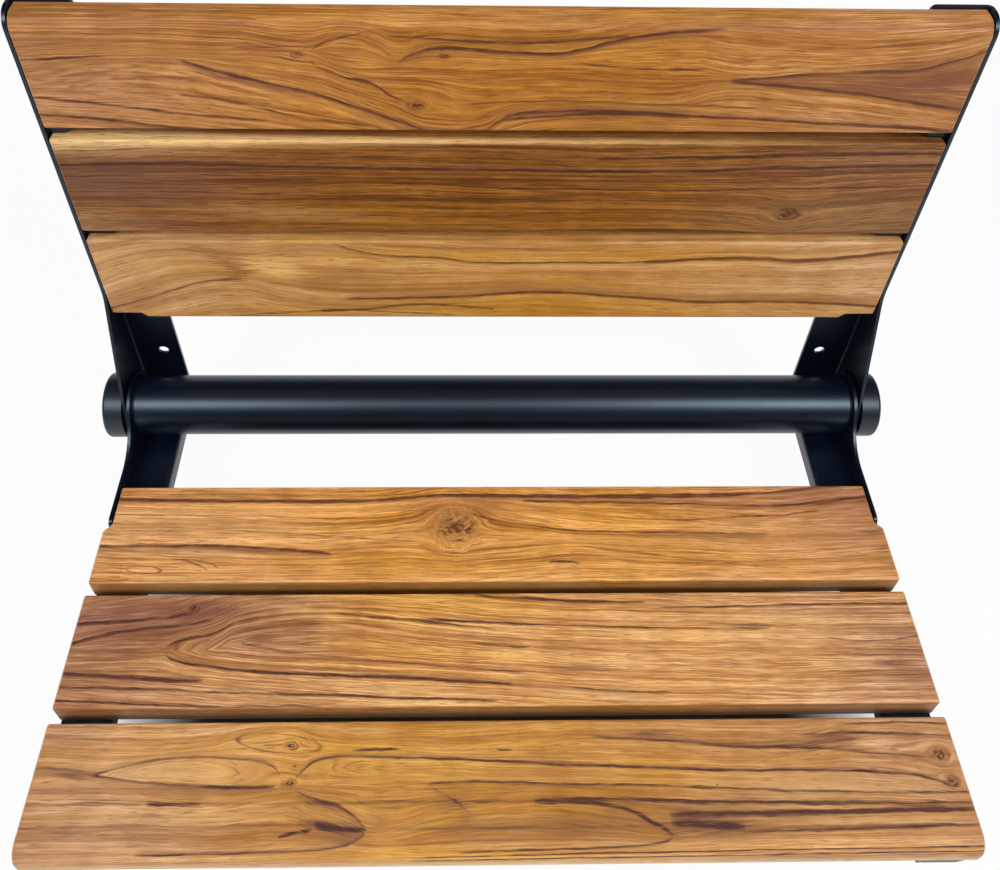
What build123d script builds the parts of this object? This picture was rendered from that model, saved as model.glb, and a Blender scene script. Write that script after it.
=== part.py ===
from build123d import *
import math
import os

# Folding shower seat for a wall: teak slats on a black steel frame.
# Millimetres. The wall is the plane y = 0 and +Y points into it, +Z is up.
# The origin is the middle of the four wall holes.

# Teak slats
slat_length = 610.0
slat_width = 83.5
slat_thick = 19.0
slat_gap = 9.0
slats_in_panel = 3
slat_face_round = 2.0
slat_back_round = 1.0
slat_corner = 2.0
slat_nose_round = 11.5
slat_end_gap = 0.5

# Where the two panels stand
back_lowest = 112.0
seat_top = 14.0
seat_rear = 116.0

# Steel sheet of brackets and arms
sheet = 2.5
bend_inside = 1.5

# Wall bracket
bracket_flange = 39.5
bracket_over_slat = 1.8
cheek_setback = 1.5
knee_above_slat = 22.5
knee_blend = 40.0
ear_radius = 22.5
foot_depth = 14.0
foot_below_hole = 20.0
bracket_corner = 4.0
bracket_nose_round = 12.0
tab_setback = 6.5
tab_height = 6.0
top_tab_length = 13.5
low_tab_length = 22.0
wall_hole = 8.5
wall_hole_rise = 100.0
wall_hole_inset = 23.0

# Relief under the ends of the bottom back slat, where the lowest tab sits
relief_length = 23.0
relief_height = 4.3
relief_ramp = 4.5
relief_round = 3.0

# Hinge, from the middle outwards
axis_out = 38.3
tube_outer = 50.0
tube_wall = 2.0
tube_over_arm = 0.3
plug_flange = 2.5
plug_flange_outer = 47.0
plug_length = 26.0
axle = 16.0
axle_grip = 22.0
bush_flange = 2.0
bush_flange_outer = 28.0
bush_outer = 20.0
boss_outer = 34.0
boss_length = 8.0
thrust_washer = 1.5
thrust_washer_outer = 30.0
retainer = 2.5
retainer_outer = 27.0
cap_outer = 54.5
cap_wall = 2.5
cap_end_wall = 1.6
cap_sleeve_wall = 2.0
cap_round = 2.5
cap_clear = 0.5

# Seat arm
arm_flange = 34.0
arm_lip = 14.0
arm_head = 29.0
arm_head_blend = 42.0
arm_ear_length = 32.5
arm_ear_corner = 5.0
arm_below_face = 1.0
arm_heel = 28.0
arm_heel_corner = 8.0
arm_front_inset = 2.5
arm_web_setback = 26.0
front_lip_inset = 1.0
front_lip_corner = 4.0
notch_clear = 1.2

# Rubber stop between arm and bracket
bumper = 16.0
bumper_length = 9.2
bumper_stem = 6.0
bumper_bulb = 8.5
bumper_drop = 12.0

# Screws
slat_screw = 4.2
slat_screw_head = 8.0
slat_screw_length = 16.0
slat_screw_spread = 43.5
pan_head = 2.6
arm_screw = 4.0
arm_screw_head = 7.6
arm_screw_length = 14.0
arm_screw_circle = 36.0
arm_screws_per_side = 3
axle_screw = 6.0
axle_screw_head = 11.0
axle_screw_head_high = 2.0
axle_screw_length = 16.0
csk_angle = 90.0

# Clearances
snug = 0.02
running = 0.05
screw_clear = 0.1
side_play = 0.3
bumper_gap = 0.3

# Places worked out from the sizes above
slat_pitch = slat_width + slat_gap
bracket_in = slat_length / 2 + slat_end_gap
bracket_out = bracket_in + sheet
bracket_edge = bracket_out - bracket_flange
back_top = back_lowest + slats_in_panel * slat_pitch - slat_gap
bracket_top = back_top + bracket_over_slat
bracket_bottom = -wall_hole_rise / 2 - foot_below_hole
back_face = -sheet - slat_thick
cheek_front = back_face + cheek_setback
wall_hole_x = bracket_in - wall_hole_inset
arm_out = bracket_in - bush_flange - side_play
arm_in = arm_out - sheet
arm_edge = arm_out - arm_flange
arm_flange_top = seat_top - slat_thick
seat_front = seat_rear + slats_in_panel * slat_pitch - slat_gap
arm_front = seat_front - arm_front_inset
heel_back = sheet + bumper_gap + bumper_length
tube_end = arm_in - plug_flange
axis_y = -axis_out
axis_z = arm_flange_top + tube_over_arm + tube_outer / 2
boss_end = bracket_out + boss_length
axle_end = boss_end + thrust_washer + side_play
retainer_end = axle_end + retainer
cap_top = retainer_end + axle_screw_head_high + cap_clear
back_screw_x = (bracket_in + bracket_edge) / 2
seat_screw_x = (arm_in + arm_edge + sheet) / 2


# A round bar along X on the hinge axis
def hinge_bar(x0, x1, diameter):
    place = Pos((x0 + x1) / 2, axis_y, axis_z) * Rot(0, 90, 0)
    return place * Cylinder(diameter / 2, x1 - x0)


# The same with a bore
def hinge_ring(x0, x1, outer, bore):
    return hinge_bar(x0, x1, outer) - hinge_bar(x0 - 1, x1 + 1, bore)


# A block between two corners
def block(x0, x1, y0, y1, z0, z1):
    place = Pos((x0 + x1) / 2, (y0 + y1) / 2, (z0 + z1) / 2)
    return place * Box(abs(x1 - x0), abs(y1 - y0), abs(z1 - z0))


# The point where a line from "point" touches a circle, in the YZ plane
def touch_point(point, centre, radius, side):
    dy = point[0] - centre[0]
    dz = point[1] - centre[1]
    turn = math.atan2(dz, dy) + side * math.acos(radius / math.hypot(dy, dz))
    return (centre[0] + radius * math.cos(turn), centre[1] + radius * math.sin(turn))


# A face in the YZ plane, pushed along X from x0 to x1
def cheek_plate(face, x0, x1):
    return Pos(x0, 0, 0) * extrude(Plane.YZ * face, x1 - x0)


# Corner points of a flat face that lie near a given place
def corners_near(face, points):
    picked = []
    for vertex in face.vertices():
        for point in points:
            if math.hypot(vertex.X - point[0], vertex.Y - point[1]) < 0.01:
                picked.append(vertex)
    return picked


# Countersunk screw: head flush with z = 0, shank down
def countersunk(head, shank, length):
    head_high = (head - shank) / 2 / math.tan(math.radians(csk_angle / 2))
    cone = Pos(0, 0, -head_high / 2) * Cone(shank / 2, head / 2, head_high)
    body = Pos(0, 0, -length / 2) * Cylinder(shank / 2, length)
    slot = Pos(0, 0, 0) * Box(shank * 0.6, shank * 0.6, head_high)
    return cone + body - slot


# Pan head screw: head above z = 0, shank down
def pan_screw(head, head_high, shank, length):
    dome = Pos(0, 0, head_high / 2) * Cylinder(head / 2, head_high)
    dome = fillet(dome.edges().sort_by(Axis.Z)[-1], head_high * 0.6)
    body = Pos(0, 0, -length / 2) * Cylinder(shank / 2, length)
    slot = Pos(0, 0, head_high) * Box(shank * 0.6, shank * 0.6, head_high)
    return dome + body - slot


# Flat outline of a plain slat, X along it
def plain_outline():
    face = Rectangle(slat_length, slat_width)
    return fillet(face.vertices(), slat_corner)


# Outline of a panel's outer slat, square at the rounded nose, which is its +Y edge
def nosed_outline():
    face = Rectangle(slat_length, slat_width)
    half_x = slat_length / 2
    half_y = slat_width / 2
    return fillet(corners_near(face, [(-half_x, -half_y), (half_x, -half_y)]), slat_corner)


# Outline of the bottom back slat, with its lower end corners relieved for the bracket tabs
def relieved_outline():
    half_x = slat_length / 2
    half_y = slat_width / 2
    flat_x = half_x - relief_length
    ramp_x = flat_x - relief_ramp
    shelf = relief_height - half_y
    right = [(ramp_x, -half_y), (flat_x, shelf), (half_x, shelf), (half_x, half_y)]
    left = [(-x, y) for x, y in reversed(right)]
    face = make_face(Polyline(right + left, close=True))
    face = fillet(corners_near(face, [(half_x, half_y), (-half_x, half_y)]), slat_corner)
    ramp = [(ramp_x, -half_y), (-ramp_x, -half_y), (flat_x, shelf), (-flat_x, shelf)]
    face = fillet(corners_near(face, ramp), relief_round)
    return fillet(corners_near(face, [(half_x, shelf), (-half_x, shelf)]), slat_corner)


# Outline of the rear seat slat, notched at its rear end corners for the arm ears
def notched_outline():
    half_x = slat_length / 2
    half_y = slat_width / 2
    notch_x = arm_in - notch_clear
    depth = half_x - notch_x
    foot = half_y - arm_ear_length - notch_clear
    right = [(half_x, -half_y), (half_x, foot - depth), (notch_x, foot), (notch_x, half_y)]
    left = [(-x, y) for x, y in reversed(right)]
    face = make_face(Polyline(right + left, close=True))
    outer = [(half_x, -half_y), (-half_x, -half_y), (notch_x, half_y), (-notch_x, half_y)]
    face = fillet(corners_near(face, outer), slat_corner)
    ramp = [(half_x, foot - depth), (-half_x, foot - depth), (notch_x, foot), (-notch_x, foot)]
    return fillet(corners_near(face, ramp), relief_round)


# A slat lying flat with its show face on z = 0, its show edges rounded
def plain_board(outline):
    body = extrude(outline, -slat_thick)
    return fillet(body.faces().sort_by(Axis.Z)[-1].edges(), slat_face_round)


# The same with the wide rounded nose, and the small rounding carried round the nose's ends
def nosed_board():
    body = extrude(nosed_outline(), -slat_thick)
    body = fillet(body.faces().sort_by(Axis.Z)[-1].edges().sort_by(Axis.Y)[-1], slat_nose_round)
    nose = body.faces().filter_by(GeomType.CYLINDER).sort_by(Axis.Y)[-1]
    rim = body.faces().sort_by(Axis.Z)[-1].edges().sort_by(Axis.Y)[:-1]
    rim += nose.edges().filter_by(GeomType.CIRCLE)
    rim += body.faces().sort_by(Axis.Y)[-1].edges().filter_by(Axis.Z)
    return fillet(rim, slat_face_round)


# A board with its back edges eased and pilot holes drilled from the back
def slat(board, screw_x):
    body = fillet(board.faces().sort_by(Axis.Z)[0].edges(), slat_back_round)
    deep = slat_screw_length - sheet + 1
    pilot = Pos(0, 0, deep / 2 - slat_thick) * Cylinder(slat_screw / 2 + snug, deep)
    for x in (-screw_x, screw_x):
        for y in (-slat_screw_spread / 2, slat_screw_spread / 2):
            body -= Pos(x, y, 0) * pilot
    return body


# Height of a back slat's middle, counted from the bottom one
def back_middle(number):
    return back_lowest + slat_width / 2 + number * slat_pitch


# Place along Y of a seat slat's middle, counted from the rear one
def seat_middle(number):
    return -seat_rear - slat_width / 2 - number * slat_pitch


# In a back slat the board's +Y edge is the upper one
def back_slat(number, board):
    place = Pos(0, back_face, back_middle(number)) * Rot(90, 0, 0)
    return place * slat(board, back_screw_x)


# In a seat slat it is the rear one, so a nosed board is turned round
def seat_slat(number, board, turn=0):
    place = Pos(0, seat_middle(number), seat_top) * Rot(0, 0, turn)
    return place * slat(board, seat_screw_x)


# Side view of the bracket cheek: a strip beside the slats, a pivot ear and a sloping foot
def bracket_outline():
    centre = (axis_y, axis_z)
    knee = (cheek_front, back_lowest + knee_above_slat)
    foot = (-foot_depth, bracket_bottom)
    upper = touch_point(knee, centre, ear_radius, 1)
    lower = touch_point(foot, centre, ear_radius, -1)
    points = [(0, bracket_top), (cheek_front, bracket_top), knee, upper, lower, foot, (0, bracket_bottom)]
    face = make_face(Polyline(points, close=True))
    face = fillet(corners_near(face, [knee]), knee_blend)
    face = fillet(corners_near(face, [(cheek_front, bracket_top)]), bracket_nose_round)
    face = fillet(corners_near(face, [foot]), bracket_corner)
    return face + Pos(axis_y, axis_z) * Circle(ear_radius)


# Bent sheet seen from above: wall flange and cheek
def bracket_section():
    deep = -axis_out - ear_radius - 1
    points = [(bracket_edge, 0), (bracket_out, 0), (bracket_out, deep)]
    points += [(bracket_in, deep), (bracket_in, -sheet), (bracket_edge, -sheet)]
    face = make_face(Polyline(points, close=True))
    face = fillet(corners_near(face, [(bracket_out, 0)]), bend_inside + sheet)
    return fillet(corners_near(face, [(bracket_in, -sheet)]), bend_inside)


# Tabs turned in from the cheek: one in each gap, the lowest in the bottom slat's relief. The top one is shorter
def bracket_tabs():
    heights = [back_lowest + relief_height - 0.5 - tab_height]
    for number in range(1, slats_in_panel):
        heights.append(back_lowest + number * slat_pitch - (slat_gap + tab_height) / 2)
    front = back_face + tab_setback
    tabs = []
    for low in heights:
        length = top_tab_length if low == heights[-1] else low_tab_length
        tab = block(bracket_in - length, bracket_out, front, front + sheet, low, low + tab_height)
        tips = tab.edges().filter_by(Axis.Y).group_by(Axis.X)[0]
        tabs.append(fillet(tips, tab_height / 3))
    return tabs


def wall_bracket():
    height = bracket_top - bracket_bottom
    body = Pos(0, 0, bracket_bottom) * extrude(bracket_section(), height)
    body &= cheek_plate(bracket_outline(), bracket_edge - 1, bracket_out + 1)
    inner = body.edges().filter_by(Axis.Y).group_by(Axis.X)[0]
    body = fillet(inner, bracket_corner)
    for tab in bracket_tabs():
        body += tab
    body += hinge_bar(bracket_in, boss_end, boss_outer)
    body -= hinge_bar(bracket_in - 1, boss_end + 1, bush_outer)
    for z in (-wall_hole_rise / 2, wall_hole_rise / 2):
        body -= Pos(wall_hole_x, 0, z) * Rot(90, 0, 0) * Cylinder(wall_hole / 2, 4 * sheet)
    hole = countersunk_hole()
    for number in range(slats_in_panel):
        for side in (-1, 1):
            z = back_middle(number) + side * slat_screw_spread / 2
            body -= Pos(back_screw_x, 0, z) * Rot(-90, 0, 0) * hole
    return body


# The hole in the bracket for a back slat screw
def countersunk_hole():
    head = slat_screw_head + 2 * screw_clear
    shank = slat_screw + 2 * screw_clear
    deep = (head - shank) / 2 / math.tan(math.radians(csk_angle / 2))
    cone = Pos(0, 0, -deep / 2) * Cone(shank / 2, head / 2, deep)
    return cone + Cylinder(shank / 2, 4 * sheet)


def back_slat_screws():
    screw = countersunk(slat_screw_head, slat_screw, slat_screw_length)
    screws = []
    for x in (-back_screw_x, back_screw_x):
        for number in range(slats_in_panel):
            for side in (-1, 1):
                z = back_middle(number) + side * slat_screw_spread / 2
                screws.append(Pos(x, 0, z) * Rot(-90, 0, 0) * screw)
    return Compound(children=screws)


# Nylon bush in the bracket boss, with a flange towards the arm
def axle_bush():
    barrel = hinge_bar(bracket_in, boss_end, bush_outer - 2 * snug)
    flange = hinge_bar(bracket_in - bush_flange, bracket_in, bush_flange_outer)
    return barrel + flange - hinge_bar(arm_in, axle_end + 1, axle + 2 * running)


def outer_thrust_washer():
    return hinge_ring(boss_end, boss_end + thrust_washer, thrust_washer_outer, axle + 4 * running)


# Cup over the pivot, its inner sleeve on the bracket boss
def end_cap():
    x0 = bracket_out + side_play
    x1 = cap_top + cap_end_wall
    cup = hinge_bar(x0, x1, cap_outer)
    cup = fillet(cup.edges().group_by(Axis.X)[-1], cap_round)
    cup -= hinge_bar(x0 - 1, cap_top, cap_outer - 2 * cap_wall)
    bore = boss_outer + 2 * snug
    return cup + hinge_ring(x0, cap_top + 0.5, bore + 2 * cap_sleeve_wall, bore) - hinge_bar(x0, cap_top, bore)


def hinge_tube():
    return hinge_ring(-tube_end, tube_end, tube_outer, tube_outer - 2 * tube_wall)


# Places round the axis of the screws between arm and plug
def arm_screw_places():
    places = []
    for number in range(arm_screws_per_side):
        turn = math.radians(90 + number * 360 / arm_screws_per_side)
        y = axis_y + arm_screw_circle / 2 * math.cos(turn)
        z = axis_z + arm_screw_circle / 2 * math.sin(turn)
        places.append((y, z))
    return places


# Plug in the tube's end: spigot, flange, bore for the axle and holes for the arm screws
def tube_plug():
    spigot = hinge_bar(tube_end - plug_length, tube_end, tube_outer - 2 * tube_wall - 2 * snug)
    flange = hinge_bar(tube_end, arm_in, plug_flange_outer)
    body = spigot + flange
    body -= hinge_bar(arm_in - axle_grip, arm_in + 1, axle + 2 * snug)
    deep = arm_screw_length - sheet + 1
    for y, z in arm_screw_places():
        drill = Rot(0, 90, 0) * Cylinder(arm_screw / 2 + snug, deep)
        body -= Pos(arm_in - deep / 2, y, z) * drill
    return body


# Short axle from the plug out through arm, bush and thrust washer, drilled for the retaining screw
def stub_axle():
    body = hinge_bar(arm_in - axle_grip + snug, axle_end, axle)
    return body - hinge_bar(axle_end - axle_screw_length - 1, axle_end + 1, axle_screw + 2 * snug)


def retaining_washer():
    return hinge_ring(axle_end, retainer_end, retainer_outer, axle_screw + 2 * screw_clear)


def retaining_screw():
    screw = pan_screw(axle_screw_head, axle_screw_head_high, axle_screw, axle_screw_length + retainer)
    return Pos(retainer_end, axis_y, axis_z) * Rot(0, 90, 0) * screw


# Side view of the arm: a round head, an ear flush with the slats, a tapering web and a heel
def arm_outline():
    heel_low = arm_flange_top - arm_heel
    nose = -arm_front + arm_web_setback
    ear_end = -seat_rear - arm_ear_length
    ear_top = seat_top - arm_below_face
    lip_low = arm_flange_top - arm_lip
    points = [(-heel_back, axis_z), (-heel_back, heel_low), (-axis_out - arm_head, heel_low)]
    points += [(nose, lip_low), (nose, arm_flange_top), (ear_end, arm_flange_top)]
    points += [(ear_end, ear_top), (axis_y, ear_top)]
    face = make_face(Polyline(points, close=True))
    face = fillet(corners_near(face, [(ear_end, ear_top)]), arm_ear_corner)
    face = fillet(corners_near(face, [(-heel_back, heel_low), (nose, lip_low)]), arm_heel_corner)
    face += Pos(axis_y, axis_z) * Circle(arm_head)
    rise = axis_z - ear_top
    crotch = (axis_y - math.sqrt(arm_head ** 2 - rise ** 2), ear_top)
    return fillet(corners_near(face, [crotch]), arm_head_blend)


# Flange under the slats, with its inner edge turned down
def arm_flange_bar():
    low = arm_flange_top - arm_lip
    under = arm_flange_top - sheet
    points = [(arm_in, arm_flange_top), (arm_edge, arm_flange_top), (arm_edge, low)]
    points += [(arm_edge + sheet, low), (arm_edge + sheet, under), (arm_in, under)]
    face = make_face(Polyline(points, close=True))
    face = fillet(corners_near(face, [(arm_edge, arm_flange_top)]), bend_inside + sheet)
    face = fillet(corners_near(face, [(arm_edge + sheet, under)]), bend_inside)
    bar = extrude(Plane.XZ * face, arm_front - heel_back)
    return Pos(0, -heel_back, 0) * bar


# Front lip, turned down behind the front slat's edge
def front_lip():
    low = arm_flange_top - arm_lip
    lip = block(arm_edge + bend_inside, arm_in - front_lip_inset, -arm_front, sheet - arm_front, low, arm_flange_top)
    outer = lip.edges().filter_by(Axis.Y).group_by(Axis.Z)[0].sort_by(Axis.X)[-1]
    lip = chamfer(outer, front_lip_corner)
    inner = lip.edges().filter_by(Axis.Y).group_by(Axis.X)[0].sort_by(Axis.Z)[0]
    return fillet(inner, front_lip_corner)


# Heel plate, turned down at the rear end, which carries the bumper
def heel_plate():
    low = arm_flange_top - arm_heel
    plate = block(arm_edge + bend_inside, arm_in, -heel_back - sheet, -heel_back, low, arm_flange_top)
    inner = plate.edges().filter_by(Axis.Y).group_by(Axis.Z)[0].sort_by(Axis.X)[0]
    return fillet(inner, arm_heel_corner)


# Middle of the bumper on the heel plate
def bumper_place():
    return ((arm_edge + arm_in) / 2, arm_flange_top - sheet - bumper_drop)


def seat_arm():
    body = cheek_plate(arm_outline(), arm_in, arm_out)
    body += arm_flange_bar()
    body += front_lip()
    body += heel_plate()
    body -= hinge_bar(arm_in - 1, arm_out + 1, axle + 2 * screw_clear)
    head = arm_screw_head + 2 * screw_clear
    shank = arm_screw + 2 * screw_clear
    deep = (head - shank) / 2 / math.tan(math.radians(csk_angle / 2))
    sink = Pos(0, 0, -deep / 2) * Cone(shank / 2, head / 2, deep) + Cylinder(shank / 2, 4 * sheet)
    for y, z in arm_screw_places():
        body -= Pos(arm_out, y, z) * Rot(0, 90, 0) * sink
    for number in range(slats_in_panel):
        for side in (-1, 1):
            y = seat_middle(number) + side * slat_screw_spread / 2
            body -= Pos(seat_screw_x, y, arm_flange_top) * Cylinder(slat_screw / 2 + screw_clear, 4 * sheet)
    x, z = bumper_place()
    stem_hole = Cylinder(bumper_stem / 2 + screw_clear, 4 * sheet)
    return body - Pos(x, -heel_back, z) * Rot(90, 0, 0) * stem_hole


def arm_screw_set():
    screw = countersunk(arm_screw_head, arm_screw, arm_screw_length)
    screws = []
    for y, z in arm_screw_places():
        one = Pos(arm_out, y, z) * Rot(0, 90, 0) * screw
        screws += [one, mirror(one, about=Plane.YZ)]
    return Compound(children=screws)


def seat_slat_screws():
    screw = pan_screw(slat_screw_head, pan_head, slat_screw, slat_screw_length)
    screws = []
    for x in (-seat_screw_x, seat_screw_x):
        for number in range(slats_in_panel):
            for side in (-1, 1):
                y = seat_middle(number) + side * slat_screw_spread / 2
                screws.append(Pos(x, y, arm_flange_top - sheet) * Rot(180, 0, 0) * screw)
    return Compound(children=screws)


# Rubber bumper: a round foot behind the heel plate, a stem through it and a bulb in front
def heel_bumper():
    foot = Pos(0, 0, bumper_length / 2) * Cylinder(bumper / 2, bumper_length)
    foot = fillet(foot.edges().group_by(Axis.Z)[-1], bumper / 8)
    stem = Pos(0, 0, -sheet / 2) * Cylinder(bumper_stem / 2, sheet)
    bulb = Pos(0, 0, -sheet - bumper_bulb / 4) * Cone(bumper_stem / 2, bumper_bulb / 2, bumper_bulb / 2)
    x, z = bumper_place()
    return Pos(x, -heel_back, z) * Rot(-90, 0, 0) * (foot + stem + bulb)


def both_sides(name, piece):
    return {"right_" + name: piece, "left_" + name: mirror(piece, about=Plane.YZ)}


def all_pieces():
    plain = plain_board(plain_outline())
    nosed = nosed_board()
    pieces = {
        "bottom_back_slat": back_slat(0, plain_board(relieved_outline())),
        "middle_back_slat": back_slat(1, plain),
        "top_back_slat": back_slat(slats_in_panel - 1, nosed),
        "rear_seat_slat": seat_slat(0, plain_board(notched_outline())),
        "middle_seat_slat": seat_slat(1, plain),
        "front_seat_slat": seat_slat(slats_in_panel - 1, nosed, 180),
        "back_slat_screws": back_slat_screws(),
        "seat_slat_screws": seat_slat_screws(),
        "arm_screws": arm_screw_set(),
        "hinge_tube": hinge_tube(),
    }
    screw = retaining_screw()
    pieces["retaining_screws"] = Compound(children=[screw, mirror(screw, about=Plane.YZ)])
    pieces.update(both_sides("wall_bracket", wall_bracket()))
    pieces.update(both_sides("axle_bush", axle_bush()))
    pieces.update(both_sides("thrust_washer", outer_thrust_washer()))
    pieces.update(both_sides("end_cap", end_cap()))
    pieces.update(both_sides("tube_plug", tube_plug()))
    pieces.update(both_sides("stub_axle", stub_axle()))
    pieces.update(both_sides("retaining_washer", retaining_washer()))
    pieces.update(both_sides("seat_arm", seat_arm()))
    pieces.update(both_sides("heel_bumper", heel_bumper()))
    return pieces


os.makedirs("parts", exist_ok=True)
for node, piece in all_pieces().items():
    export_step(piece, os.path.join("parts", node + ".step"))
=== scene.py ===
import math

import bpy
from mathutils import Matrix, Vector


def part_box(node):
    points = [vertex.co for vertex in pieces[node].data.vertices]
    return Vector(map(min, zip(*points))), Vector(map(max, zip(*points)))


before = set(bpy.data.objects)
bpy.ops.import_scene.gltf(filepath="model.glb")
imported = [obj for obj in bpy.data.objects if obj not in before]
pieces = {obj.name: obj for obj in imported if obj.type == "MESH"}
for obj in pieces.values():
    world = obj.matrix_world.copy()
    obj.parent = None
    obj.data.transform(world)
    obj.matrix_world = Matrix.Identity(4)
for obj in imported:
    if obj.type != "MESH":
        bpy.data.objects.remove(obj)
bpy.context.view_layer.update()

# Looks of a folding shower seat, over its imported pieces. Metres, +Y into the wall, +Z up.
print("frame:", len(pieces), "pieces")


# A Flow is a socket that can stand in an expression: each operator adds a Math node
class Flow:
    def __init__(self, paint, socket):
        self.paint = paint
        self.socket = socket

    def __add__(self, other):
        return self.paint.maths("ADD", self, other)

    def __radd__(self, other):
        return self.paint.maths("ADD", other, self)

    def __sub__(self, other):
        return self.paint.maths("SUBTRACT", self, other)

    def __rsub__(self, other):
        return self.paint.maths("SUBTRACT", other, self)

    def __mul__(self, other):
        return self.paint.maths("MULTIPLY", self, other)

    def __rmul__(self, other):
        return self.paint.maths("MULTIPLY", other, self)

    def __truediv__(self, other):
        return self.paint.maths("DIVIDE", self, other)

    def __rtruediv__(self, other):
        return self.paint.maths("DIVIDE", other, self)

    def __abs__(self):
        return self.paint.maths("ABSOLUTE", self)


def fillRamp(ramp, stops):
    while len(ramp.elements) < len(stops):
        ramp.elements.new(1.0)
    for element, (place, colour) in zip(ramp.elements, stops):
        element.position = place
        element.color = (*colour, 1.0)


def fillCurve(mapping, points):
    mapping.use_clip = False
    mapping.extend = "HORIZONTAL"
    curve = mapping.curves[0]
    while len(curve.points) < len(points):
        curve.points.new(0.5, 0.5)
    for point, place in zip(curve.points, points):
        point.location = place
    mapping.update()


# A node tree, with one method that adds any node: settings first, then values or links of its sockets
class Paint:
    def __init__(self, tree):
        self.tree = tree
        tree.nodes.clear()

    def node(self, kind, settings=None, sockets=None, out=0):
        added = self.tree.nodes.new(kind)
        for name, value in (settings or {}).items():
            if name == "stops":
                fillRamp(added.color_ramp, value)
            elif name == "points":
                fillCurve(added.mapping, value)
            else:
                setattr(added, name, value)
        for name, value in (sockets or {}).items():
            if isinstance(value, Flow):
                self.tree.links.new(value.socket, added.inputs[name])
            else:
                added.inputs[name].default_value = value
        if isinstance(out, tuple):
            return [Flow(self, added.outputs[name]) for name in out]
        if out is not None:
            return Flow(self, added.outputs[out])

    def maths(self, operation, *values):
        return self.node("ShaderNodeMath", {"operation": operation}, dict(enumerate(values)))

    def clamp(self, value):
        return self.node("ShaderNodeMath", {"operation": "ADD", "use_clamp": True}, {0: value, 1: 0.0})

    def vector(self, operation, *values, out=0):
        return self.node("ShaderNodeVectorMath", {"operation": operation}, dict(enumerate(values)), out)

    def join(self, x, y, z):
        return self.node("ShaderNodeCombineXYZ", None, {0: x, 1: y, 2: z})

    def split(self, vector):
        return self.node("ShaderNodeSeparateXYZ", None, {0: vector}, ("X", "Y", "Z"))

    # Mix of two colours, each a Flow or a triple
    def mix(self, amount, low, high, blend="MIX"):
        low = low if isinstance(low, Flow) else (*low, 1.0)
        high = high if isinstance(high, Flow) else (*high, 1.0)
        settings = {"data_type": "RGBA", "blend_type": blend}
        return self.node("ShaderNodeMix", settings, {0: amount, 6: low, 7: high}, 2)

    # 0 below low, 1 above high, smooth between
    def between(self, value, low, high):
        settings = {"interpolation_type": "SMOOTHSTEP"}
        sockets = {"Value": value, "From Min": low, "From Max": high}
        return self.node("ShaderNodeMapRange", settings, sockets)

    def noise(self, vector, detail=2.0, roughness=0.55):
        sockets = {"Vector": vector, "Scale": 1.0, "Detail": detail, "Roughness": roughness}
        return self.node("ShaderNodeTexNoise", None, sockets)

    def objectPlace(self):
        return self.node("ShaderNodeTexCoord", out="Object")

    def curve(self, value, points):
        return self.node("ShaderNodeFloatCurve", {"points": points}, {"Factor": 1.0, "Value": value})


def newFinish(name):
    material = bpy.data.materials.new(name)
    material.use_nodes = True
    return material, Paint(material.node_tree)


# One Principled shader, whose sockets are given by name
def shade(paint, sockets):
    surface = paint.node("ShaderNodeBsdfPrincipled", None, sockets)
    paint.node("ShaderNodeOutputMaterial", None, {"Surface": surface}, None)


def wear(material, *names):
    for name in names:
        mesh = pieces[name].data
        mesh.materials.clear()
        mesh.materials.append(material)


# Camera at the photo's viewing angle. The picture is 1000 by 870 pixels
view = {
    "place": (-0.0247, -0.5619, 0.7036),
    "down": 45.693,                 # degrees below level
    "turn": 1.882,                  # degrees to the right of +Y
    "roll": 1.467,
    "picture": (1000, 870),
    "focus": 996.67,                # focal length in pixels
    "centre": (488.39, 285.0),      # where the optical axis meets the picture
}


def aimCamera():
    wide, high = view["picture"]
    lens = bpy.data.cameras.new("camera")
    lens.sensor_width = 36.0
    lens.lens = view["focus"] * lens.sensor_width / wide
    lens.shift_x = (wide / 2 - view["centre"][0]) / wide
    lens.shift_y = (view["centre"][1] - high / 2) / wide
    lens.clip_start = 0.01
    camera = bpy.data.objects.new("camera", lens)
    turn = Matrix.Rotation(-math.radians(view["turn"]), 4, "Z")
    tip = Matrix.Rotation(math.radians(90 - view["down"]), 4, "X")
    roll = Matrix.Rotation(math.radians(view["roll"]), 4, "Z")
    camera.matrix_world = Matrix.Translation(view["place"]) @ turn @ tip @ roll
    bpy.context.scene.collection.objects.link(camera)
    bpy.context.scene.camera = camera


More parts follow.
